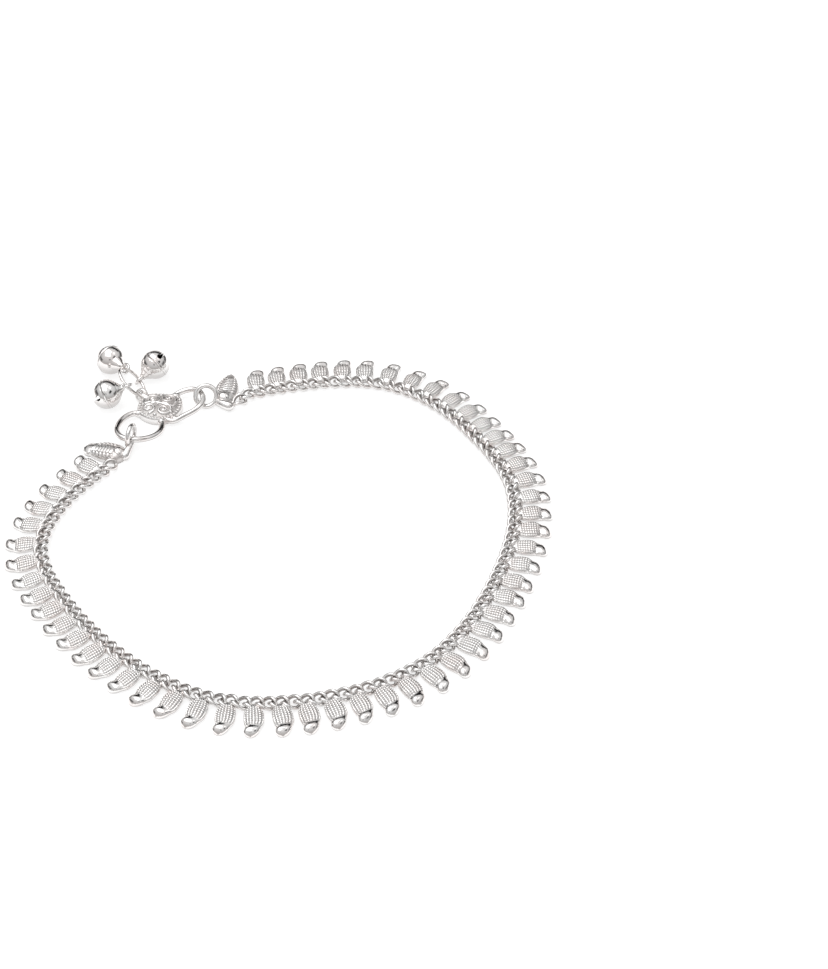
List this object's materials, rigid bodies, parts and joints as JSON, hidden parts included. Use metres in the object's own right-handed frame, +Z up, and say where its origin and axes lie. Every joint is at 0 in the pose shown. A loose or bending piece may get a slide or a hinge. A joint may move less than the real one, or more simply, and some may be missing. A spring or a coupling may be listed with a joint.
{
  "type": "anklet",
  "caption": "Silver payal anklet: curb chain with ridged mango charms along its outer edge, leaf ends, hook clasp and small round bells, lying closed and flat.",
  "frame": {"origin": "middle of the footprint, on the surface that the anklet lies on", "axes": "+Z up, square to the flat loop; +X along the loop's width, to the right of the picture; the clasp and the bells are at -X, +Y"},
  "size_m": [0.1036, 0.1022, 0.006],
  "materials": {
    "silver_chain": "bright silver, links polished and the charms' ridged fields frosted",
    "silver_cast": "cast silver, frosted in the pattern's hollows and polished on its raised edges and wires",
    "silver_polished": "mirror polished silver with fine scratches"
  },
  "bodies": {
    "root": {"chain_1": "silver_chain", "chain_2": "silver_chain", "chain_3": "silver_chain", "chain_4": "silver_chain", "chain_5": "silver_chain", "chain_6": "silver_chain", "chain_7": "silver_chain", "chain_8": "silver_chain", "chain_9": "silver_chain", "leaf_end_left": "silver_cast", "leaf_end_right": "silver_cast", "clasp": "silver_cast", "bell_ring": "silver_polished", "bell_1": "silver_polished", "bell_2": "silver_polished", "bell_3": "silver_polished"}
  },
  "joints": []
}
